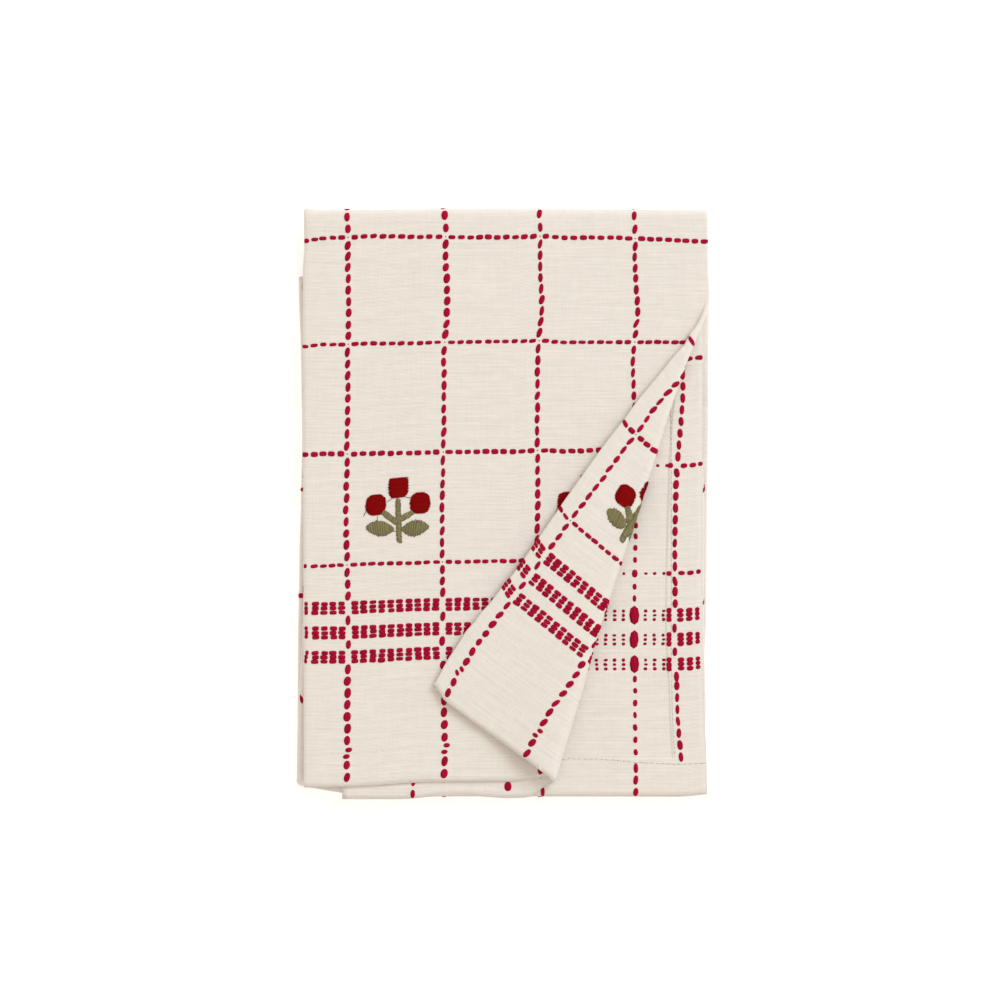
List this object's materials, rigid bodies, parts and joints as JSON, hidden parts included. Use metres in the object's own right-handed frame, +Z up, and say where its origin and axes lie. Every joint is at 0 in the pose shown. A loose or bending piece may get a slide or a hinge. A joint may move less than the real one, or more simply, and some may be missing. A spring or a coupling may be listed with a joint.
{
  "type": "tea towel",
  "caption": "Folded woven tea towel: a hemmed cloth turned in along both long edges, folded back and forth across its length, one corner turned back over a soft roll.",
  "frame": {"origin": "middle of the underside, on the surface that the folded towel lies on", "axes": "+X across the folded strip, +Y along it towards the top fold, +Z up, out of the cloth's upper face"},
  "size_m": [0.1729, 0.2477, 0.0187],
  "materials": {
    "cloth": "plain weave of slubby cream cotton",
    "red_yarn": "soft crimson cotton yarn, floating on the weave",
    "red_thread": "deep red embroidery thread, satin stitch",
    "green_thread": "sage green embroidery thread, satin stitch"
  },
  "bodies": {
    "root": {"towel": "cloth"}
  },
  "joints": []
}
